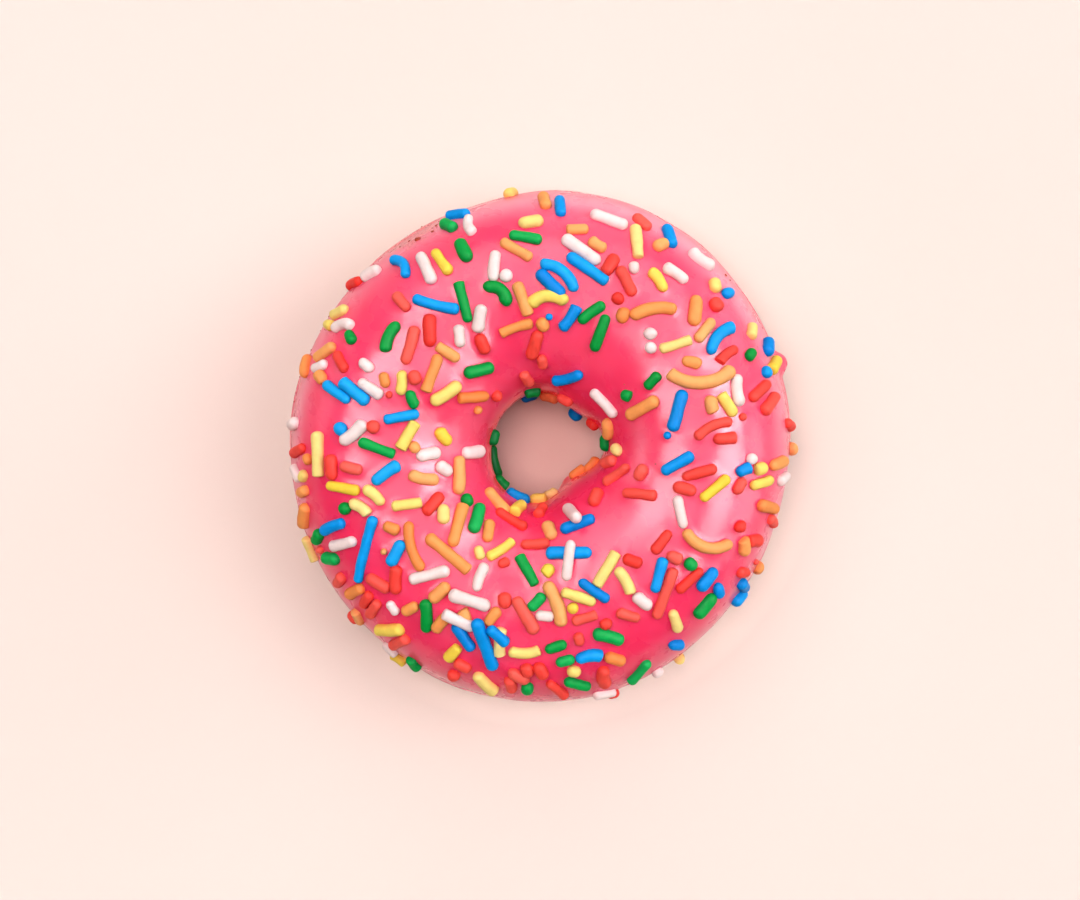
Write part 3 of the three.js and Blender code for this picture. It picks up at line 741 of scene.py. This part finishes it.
def sprinkle_mesh(sprinkle, seed):
    """Points and faces of one sprinkle, a lumpy rod, and how low each point lies on it."""
    along, girth = sprinkle_profile(sprinkle, random.Random(seed))
    middles = sprinkle["line"](along)
    ahead = unit(sprinkle["line"](along + NEARBY) - sprinkle["line"](along - NEARBY))
    sideways = unit(np.cross(ahead, icing_normal(sprinkle["turn"], sprinkle["lean"])))
    upwards = np.cross(sideways, ahead)
    angle = np.radians(np.linspace(0, 360, SPRINKLE_SIDES, endpoint=False))[None, :, None]
    spokes = sideways[:, None, :] * np.cos(angle) + upwards[:, None, :] * np.sin(angle)
    skin = middles[:, None, :] + spokes * (girth * sprinkle["radius"])[:, None, None]
    skin = skin.reshape(-1, 3)
    lumps = layered(skin, [LUMPS, RED_GRAIN if sprinkle["colour"] == "red" else GRAIN], seed)
    points = skin + (spokes * girth[:, None, None]).reshape(-1, 3) * lumps[:, None]
    # How low each point lies, which the material turns into painted shade and pink bounce light.
    low = 1 - passed(np.sin(angle[..., 0]) * girth[:, None], 0, BOUNCE_SHADE_UNDER)
    return points, rod_faces(len(along)), low.ravel()


def make_sprinkles(colour, sprinkles, material, first_seed):
    """The sprinkles of one colour as one piece, each in its own tone."""
    parts, attributes = [], {"tone": [], "low": [], "shade": []}
    draw = random.Random(f"tones of {colour}")
    for i, sprinkle in enumerate(sprinkles):
        points, faces, low = sprinkle_mesh(sprinkle, first_seed + i)
        shade = hole_shade(sprinkle["turn"], sprinkle["lean"] + SPRINKLES_DEEPER)
        parts.append((points, faces))
        attributes["tone"].append(np.full(len(points), draw.random()))
        attributes["low"].append(low)
        attributes["shade"].append(np.full(len(points), shade))
    return add_piece(
        f"sprinkles_{colour}", *joined(parts), material, f"sprinkle_{colour}",
        {key: np.concatenate(values) for key, values in attributes.items()})


def crumb_mesh(turn, lean, size, draw):
    """Points and faces of one crumb: a lumpy, flattened ball, partly sunk in the icing."""
    ball = bmesh.new()
    bmesh.ops.create_icosphere(ball, subdivisions=CRUMB_SPLITS, radius=size / 2)
    points = np.array([corner.co for corner in ball.verts])
    faces = [[corner.index for corner in face.verts] for face in ball.faces]
    ball.free()
    points = points * [1, draw.uniform(*CRUMB["width"]), draw.uniform(*CRUMB["height"])]
    lumps = CRUMB["lumps"] * grain(points, CRUMB["lump_size"] * size, draw.randrange(1000))
    points = points * (1 + lumps)[:, None]
    normal = icing_normal(turn, lean)
    ahead = wall_direction(normal, turn, draw.uniform(0, 180))
    axes = np.array([ahead, np.cross(normal, ahead), normal])
    return over_icing(turn, lean, CRUMB["middle"] * size) + points @ axes, faces


def make_crumbs(material):
    """Crumbs of crust on the icing, as one piece."""
    draw = random.Random("crumbs")
    rows = [(*place_in_plan(x, y), size) for x, y, size in CRUMBS]
    stretch = CRUMB_STRETCH
    for _ in range(stretch["count"]):
        turn = draw.uniform(stretch["from"], stretch["to"])
        lean = lerp(stretch["lowest"], stretch["highest"], draw.random() ** stretch["downwards"])
        size = lerp(stretch["smallest"], stretch["largest"], draw.random() ** stretch["fineness"])
        rows.append((turn, float(outer_edge(turn)) + lean, size))
    parts = [crumb_mesh(*row, draw) for row in rows]
    add_piece("crumbs", *joined(parts), material, "dough", {})


# ---- Materials ----

SENT_BACK = 0.8               # share of the light that a surface of full screen white sends back
NOISE_SPAN = (0.3, 0.7)       # what noise mostly keeps between

# What a sprinkle's colour is multiplied by low down, as painted shade and pink bounce light from
# the icing, and in the hole, as painted shade.
PAINTED_BOUNCE_SHADE, PAINTED_BOUNCE_SHADE_ON_WHITE = (1, 0.74, 0.84, 1), (1, 0.88, 0.92, 1)
SPRINKLE_SHADE = (0.72, 0.34, 0.4, 1)

# What the floor's colour is multiplied by: in the hole, as painted rosy bounce light and shade,
# full within one distance from the axis and none beyond another; and beside the ring, as painted
# light that lifts the ring's shadow, likewise, growing towards one direction.
FLOOR_HOLE_PAINTED_TINT = {"tint": (0.94, 0.74, 0.74, 1), "full": 9, "none": 13}
FLOOR_PAINTED_LIGHT = {
    "tint": (1.4, 1.4, 1.38, 1), "full": 42, "none": 49, "direction": 292, "starts": 18, "ends": 42,
}


def linear(red, green, blue, share=SENT_BACK):
    """The surface that looks like a screen colour, 0 to 255 a channel, under the lamps."""
    shares = [channel / 255 for channel in (red, green, blue)]
    return (*[
        share * (s / 12.92 if s <= 0.04045 else ((s + 0.055) / 1.055) ** 2.4) for s in shares], 1)


def new_material(name, **fixed):
    """A material with its node tree and shader, whose fixed inputs are set on the shader itself."""
    material = bpy.data.materials.new(name)
    material.use_nodes = True
    tree = material.node_tree
    shader = tree.nodes["Principled BSDF"]
    for key, value in fixed.items():
        shader.inputs[key.replace("_", " ")].default_value = value
    return material, tree, shader


def add_node(tree, kind, inputs, **settings):
    """A node, with each input set to a value or linked from a socket."""
    node = tree.nodes.new(kind)
    for key, value in settings.items():
        setattr(node, key, value)
    for key, value in inputs.items():
        if isinstance(value, bpy.types.NodeSocket):
            tree.links.new(value, node.inputs[key])
        else:
            node.inputs[key].default_value = value
    return node


def object_place(tree):
    """The place on the object itself, in metres."""
    return tree.nodes.new("ShaderNodeTexCoord").outputs["Object"]


def noise_of(tree, place, size, detail=3):
    """Noise with features of the given size in millimetres."""
    return add_node(tree, "ShaderNodeTexNoise", {
        "Vector": place, "Scale": 1 / (size * MM), "Detail": detail,
    }).outputs["Fac"]


def ramp(tree, factor, stops):
    """Colours that run from stop to stop as the factor grows."""
    node = add_node(tree, "ShaderNodeValToRGB", {"Fac": factor})
    elements = node.color_ramp.elements
    while len(elements) < len(stops):
        elements.new(0.5)
    for element, (position, colour) in zip(elements, stops):
        element.position = position
        element.color = colour
    return node.outputs["Color"]


def mapped(tree, value, low, high, to_low, to_high):
    """A value carried over from one range to another, and kept within it."""
    return add_node(tree, "ShaderNodeMapRange", {
        "Value": value, "From Min": low, "From Max": high, "To Min": to_low, "To Max": to_high,
    }).outputs["Result"]


def wandering(tree, place, size, low, high):
    """A value that wanders between two, in patches of the given size in millimetres."""
    return mapped(tree, noise_of(tree, place, size), *NOISE_SPAN, low, high)


def mixed(tree, factor, first, second, blend="MIX"):
    """Two colours, blended as far as the factor says."""
    return add_node(
        tree, "ShaderNodeMix", {0: factor, 6: first, 7: second}, data_type="RGBA",
        blend_type=blend).outputs[2]


def math_of(tree, operation, first, second):
    return add_node(tree, "ShaderNodeMath", {0: first, 1: second}, operation=operation).outputs[0]


def bump_of(tree, height, strength, depth, below=None):
    """A bump of the given depth in millimetres."""
    inputs = {"Height": height, "Strength": strength, "Distance": depth * MM}
    if below is not None:
        inputs["Normal"] = below
    return add_node(tree, "ShaderNodeBump", inputs).outputs["Normal"]


def attribute(tree, name):
    """A value that the mesh holds for each of its points."""
    return add_node(tree, "ShaderNodeAttribute", {}, attribute_name=name).outputs["Fac"]


def link_surface(tree, shader, colour, roughness, normal):
    """Links what varies over a surface."""
    for key, socket in [("Base Color", colour), ("Roughness", roughness), ("Normal", normal)]:
        tree.links.new(socket, shader.inputs[key])


def icing_material():
    """Glossy icing: painted sheen in pale places, painted shade in deep pink in the hole, and
    stained where it is thin.
    """
    material, tree, shader = new_material(
        "icing", Subsurface_Weight=0.45, Subsurface_Scale=1.8 * MM,
        Subsurface_Radius=(1, 0.3, 0.35), Specular_IOR_Level=0.2, Coat_Weight=0.36,
        Coat_IOR=1.5, Coat_Roughness=0.24)
    place = object_place(tree)
    pink = ramp(tree, noise_of(tree, place, 9), [
        (0.3, linear(248, 48, 96)), (0.7, linear(250, 57, 105)),
    ])
    stained = ramp(tree, noise_of(tree, place, 0.4, detail=2), [
        (0.34, linear(150, 44, 44)), (0.42, linear(240, 104, 112)), (0.62, linear(250, 124, 134)),
        (0.72, linear(255, 196, 196)),
    ])
    ragged = math_of(tree, "ADD", attribute(tree, "thin"), noise_of(tree, place, 1.6))
    bare = mapped(tree, ragged, 0.82, 0.98, 0, 0.85)
    # Painted sheen: the pink is paled where the icing's shoulder would reflect light.
    thick = mixed(tree, attribute(tree, "pale"), pink, linear(255, 156, 176))
    shade = attribute(tree, "shade")
    # Painted shade: deep pink on the hole's wall, darkest where its shade is full.
    painted_shade_pink = ramp(tree, shade, [(0.3, linear(255, 24, 74, 0.95)), (1, linear(214, 14, 50, 0.9))])
    shaded = mixed(tree, mapped(tree, shade, 0, 0.3, 0, 1), thick, painted_shade_pink)
    patchy = math_of(tree, "MULTIPLY", bare, mapped(tree, noise_of(tree, place, 3), 0, 1, 0.5, 1))
    pitted = bump_of(tree, noise_of(tree, place, 0.4), strength=patchy, depth=0.08)
    link_surface(
        tree, shader, colour=mixed(tree, bare, shaded, stained),
        roughness=wandering(tree, place, 4, low=0.24, high=0.34),
        normal=bump_of(tree, noise_of(tree, place, 3), strength=0.03, depth=0.04, below=pitted))
    return material


def crust_material():
    """Fried crust, paler towards the waist, mottled and pitted with pores."""
    material, tree, shader = new_material(
        "crust", Subsurface_Weight=0.12, Subsurface_Scale=1.2 * MM,
        Subsurface_Radius=(1, 0.5, 0.25), Specular_IOR_Level=0.1)
    place = object_place(tree)
    height = add_node(tree, "ShaderNodeSeparateXYZ", {"Vector": place}).outputs["Z"]
    level = math_of(
        tree, "ADD", height, wandering(tree, place, 7, low=-1.2 * MM, high=1.2 * MM))
    baked = ramp(tree, mapped(tree, level, 0, 14 * MM, 0, 1), [
        (0, linear(158, 96, 48)), (0.3, linear(184, 118, 62)), (0.52, linear(214, 158, 98)),
        (0.66, linear(238, 205, 152)), (0.85, linear(240, 210, 160)),
    ])
    mottled = ramp(tree, noise_of(tree, place, 1.4, detail=5), [
        (0.36, (0.72, 0.66, 0.58, 1)), (0.62, (1, 1, 1, 1)),
    ])
    pores = add_node(
        tree, "ShaderNodeTexVoronoi", {"Vector": place, "Scale": 1 / (0.9 * MM)},
    ).outputs["Distance"]
    pitted = bump_of(tree, mapped(tree, pores, 0, 0.35, 0, 1), strength=0.35, depth=0.12)
    coarse = noise_of(tree, place, 1.6, detail=5)
    link_surface(
        tree, shader, colour=mixed(tree, 0.8, baked, mottled, "MULTIPLY"),
        roughness=wandering(tree, place, 2, low=0.48, high=0.68),
        normal=bump_of(tree, coarse, strength=0.5, depth=0.25, below=pitted))
    return material


def crumb_material():
    """Dark, reddish crumbs of crust."""
    material, tree, shader = new_material("crumb", Specular_IOR_Level=0.1)
    place = object_place(tree)
    colour = ramp(tree, noise_of(tree, place, 0.4), [
        (0.35, linear(122, 38, 30)), (0.65, linear(206, 92, 60)),
    ])
    link_surface(
        tree, shader, colour, roughness=wandering(tree, place, 0.3, low=0.5, high=0.75),
        normal=bump_of(tree, noise_of(tree, place, 0.12), strength=0.4, depth=0.03))
    return material


def sprinkle_material(colour, dark, middle, light):
    """Sugar that is redder low down, as painted shade and pink bounce light, and darker in the
    hole, as painted shade.
    """
    material, tree, shader = new_material(
        f"sugar_{colour}", Subsurface_Weight=0.15, Subsurface_Scale=0.5 * MM,
        Subsurface_Radius=(1, 0.8, 0.7), Specular_IOR_Level=0.05)
    place = object_place(tree)
    tinted = ramp(tree, attribute(tree, "tone"), [(0, dark), (0.5, middle), (1, light)])
    clouded = ramp(tree, noise_of(tree, place, 1.3), [
        (0.3, (0.88, 0.88, 0.88, 1)), (0.7, (1, 1, 1, 1)),
    ])
    body = mixed(tree, 1, tinted, clouded, "MULTIPLY")
    # Painted shade and pink bounce light low down, and painted shade in the hole.
    painted_bounce_shade = PAINTED_BOUNCE_SHADE_ON_WHITE if colour == "white" else PAINTED_BOUNCE_SHADE
    with_bounce_shade = mixed(tree, attribute(tree, "low"), body, painted_bounce_shade, "MULTIPLY")
    shaded = mixed(tree, attribute(tree, "shade"), with_bounce_shade, SPRINKLE_SHADE, "MULTIPLY")
    link_surface(
        tree, shader, shaded, roughness=wandering(tree, place, 0.8, low=0.34, high=0.5),
        normal=bump_of(tree, noise_of(tree, place, 0.45), strength=0.3, depth=0.05))
    return material


def floor_material():
    """A pale floor, with painted rosy light and shade in the hole and painted light beside the
    front right of the ring.
    """
    material, tree, shader = new_material("backdrop", Specular_IOR_Level=0.02)
    place = object_place(tree)
    pale = ramp(tree, noise_of(tree, place, 90), [
        (0.3, linear(240, 220, 210)), (0.7, linear(241, 222, 213)),
    ])
    away = add_node(
        tree, "ShaderNodeVectorMath", {"Vector": place}, operation="LENGTH").outputs["Value"]
    direction = math.radians(FLOOR_PAINTED_LIGHT["direction"])
    ahead = add_node(tree, "ShaderNodeVectorMath", {
        0: place, 1: (math.cos(direction), math.sin(direction), 0),
    }, operation="DOT_PRODUCT").outputs["Value"]
    # Painted light: the floor is lifted beside the front right of the ring, where the ring's shadow
    # falls.
    beside = math_of(
        tree, "MULTIPLY",
        mapped(tree, away, FLOOR_PAINTED_LIGHT["full"] * MM, FLOOR_PAINTED_LIGHT["none"] * MM, 1, 0),
        mapped(tree, ahead, FLOOR_PAINTED_LIGHT["starts"] * MM, FLOOR_PAINTED_LIGHT["ends"] * MM, 0, 1))
    lifted = mixed(tree, beside, pale, FLOOR_PAINTED_LIGHT["tint"], "MULTIPLY")
    # Painted rosy bounce light and shade on the floor in the hole.
    painted_hole_tint = mapped(tree, away, FLOOR_HOLE_PAINTED_TINT["full"] * MM, FLOOR_HOLE_PAINTED_TINT["none"] * MM, 1, 0)
    link_surface(
        tree, shader, colour=mixed(tree, painted_hole_tint, lifted, FLOOR_HOLE_PAINTED_TINT["tint"], "MULTIPLY"),
        roughness=wandering(tree, place, 0.8, low=0.8, high=0.95),
        normal=bump_of(tree, noise_of(tree, place, 0.9), strength=0.05, depth=0.05))
    return material


# ---- The doughnut ----

SPRINKLE_TONES = {            # darkest, middle and lightest of each colour
    "red": [(248, 62, 52), (254, 82, 70), (254, 104, 90)],
    "orange": [(250, 144, 72), (252, 164, 88), (253, 182, 110)],
    "yellow": [(252, 221, 66), (252, 227, 116), (252, 231, 150)],
    "green": [(0, 154, 58), (4, 172, 74), (24, 188, 92)],
    "blue": [(0, 140, 228), (0, 162, 248), (20, 178, 254)],
    "white": [(245, 226, 220), (249, 231, 226), (251, 235, 231)],
}


def sugar_ball(colour, x, y, diameter):
    """A sprinkle as long as it is thick, on a straight middle line."""
    ball = sprinkle_in_plan(colour, x, y, 0, diameter, 0, 0, diameter / 2)
    middle = ball["line"](np.zeros(1))
    ball["line"] = lambda along: middle + ball["direction"] * along[..., None]
    return ball


def piled(colour, x, y, heading, length, lift):
    """A straight sprinkle that lies across others."""
    return sprinkle_in_plan(colour, x, y, heading, length, 0, lift, SPRINKLE_RADIUS)


strewn_sprinkles = all_sprinkles() + [piled(*row) for row in PILED] + [
    sugar_ball(*row) for row in SUGAR_BALLS]
make_icing(strewn_sprinkles, icing_material())
make_dough(crust_material())
make_crumbs(crumb_material())
for order, (colour_name, tones) in enumerate(SPRINKLE_TONES.items()):
    own = [sprinkle for sprinkle in strewn_sprinkles if sprinkle["colour"] == colour_name]
    sugar = sprinkle_material(colour_name, *[linear(*tone) for tone in tones])
    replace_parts(make_sprinkles(colour_name, own, sugar, SEEDS_PER_COLOUR * order), "icing")

# ---- Floor, lights and camera ----

FLOOR_REACH = 30              # metres from its middle to its sides
CAMERA_PLACE = (-0.17, -0.84, 441)      # straight above, as in the photograph
CAMERA_LENS, CAMERA_SENSOR = 85, 36
COOL, ROSY = (0.94, 0.97, 1), (1, 0.84, 0.81)
BACKDROP = linear(253, 238, 229, share=1)

# The lamps that only light, and the ones that are only mirrored by what is glossy. Each has an
# azimuth, a tilt from straight above, a half-angle and a brightness, and may have a tint.
LIGHTING_LAMPS = [
    ("right", 5, 38, 20, 4.6),
    ("right_low", 17, 74, 18, 2.8),
    ("left", 160, 32, 18, 2.2),
    ("left_low", 160, 76, 14, 0.2),
    ("back", 89, 43, 24, 1.6),
    ("back_low", 95, 77, 18, 0.9),
    ("overhead", 150, 8, 14, 12.9, ROSY),
]
MIRRORED_LAMPS = [
    ("gleam_right", 20, 36, 16, 17),
    ("gleam_right_low", -12, 38, 16, 15),
    ("gleam_left", 162, 26, 17, 14),
    ("gleam_back_right", 64, 42, 20, 4.6),
    ("gleam_back_left", 114, 42, 20, 4.4),
    ("gleam_rim_right", -12, 73, 18, 7),
    ("gleam_rim_right_back", 34, 76, 16, 4.2),
    ("gleam_rim_back", 80, 78, 18, 2.9),
    ("gleam_rim_left_back", 125, 76, 16, 1.8),
    ("gleam_rim_left", 165, 76, 15, 2.6),
    ("gleam_front", 255, 48, 22, 1.1),
    ("gleam_above", 90, 2, 13, 3.4),
]

floor_mesh = bpy.data.meshes.new("floor")
floor_mesh.from_pydata([
    (FLOOR_REACH * x, FLOOR_REACH * y, 0) for x, y in [(-1, -1), (1, -1), (1, 1), (-1, 1)]
], [], [(0, 1, 2, 3)])
floor_mesh.materials.append(floor_material())
floor = bpy.data.objects.new("floor", floor_mesh)
bpy.context.scene.collection.objects.link(floor)


def add_lamp(name, azimuth, tilt, spread, brightness, tint=COOL, mirrored=False):
    """A round lamp far away, given by its direction, its half-angle in degrees and the
    brightness of its face.
    """
    around, down = math.radians(azimuth), math.radians(tilt)
    data = bpy.data.lights.new(name, "SUN")
    data.angle = 2 * math.radians(spread)
    data.energy = brightness * math.pi * math.sin(math.radians(spread)) ** 2
    data.color = tint
    lamp = bpy.data.objects.new(name, data)
    towards = Vector((
        math.sin(down) * math.cos(around), math.sin(down) * math.sin(around), math.cos(down)))
    lamp.rotation_euler = towards.to_track_quat("Z", "Y").to_euler()
    lamp.visible_glossy = mirrored
    lamp.visible_diffuse = not mirrored
    bpy.context.scene.collection.objects.link(lamp)


for lamp_row in LIGHTING_LAMPS:
    add_lamp(*lamp_row)
for lamp_row in MIRRORED_LAMPS:
    add_lamp(*lamp_row, mirrored=True)

# The backdrop beyond the floor only shows; it sheds no light.
world = bpy.data.worlds.new("studio")
world.use_nodes = True
background = world.node_tree.nodes["Background"]
background.inputs["Color"].default_value = BACKDROP
for ray in ("diffuse", "glossy", "transmission"):
    setattr(world.cycles_visibility, ray, False)
bpy.context.scene.world = world

camera_data = bpy.data.cameras.new("camera")
camera_data.lens = CAMERA_LENS
camera_data.sensor_width = CAMERA_SENSOR
camera_data.clip_start = 10 * MM
camera = bpy.data.objects.new("camera", camera_data)
camera.location = [along * MM for along in CAMERA_PLACE]
bpy.context.scene.collection.objects.link(camera)
bpy.context.scene.camera = camera
bpy.context.scene.view_settings.view_transform = "Standard"
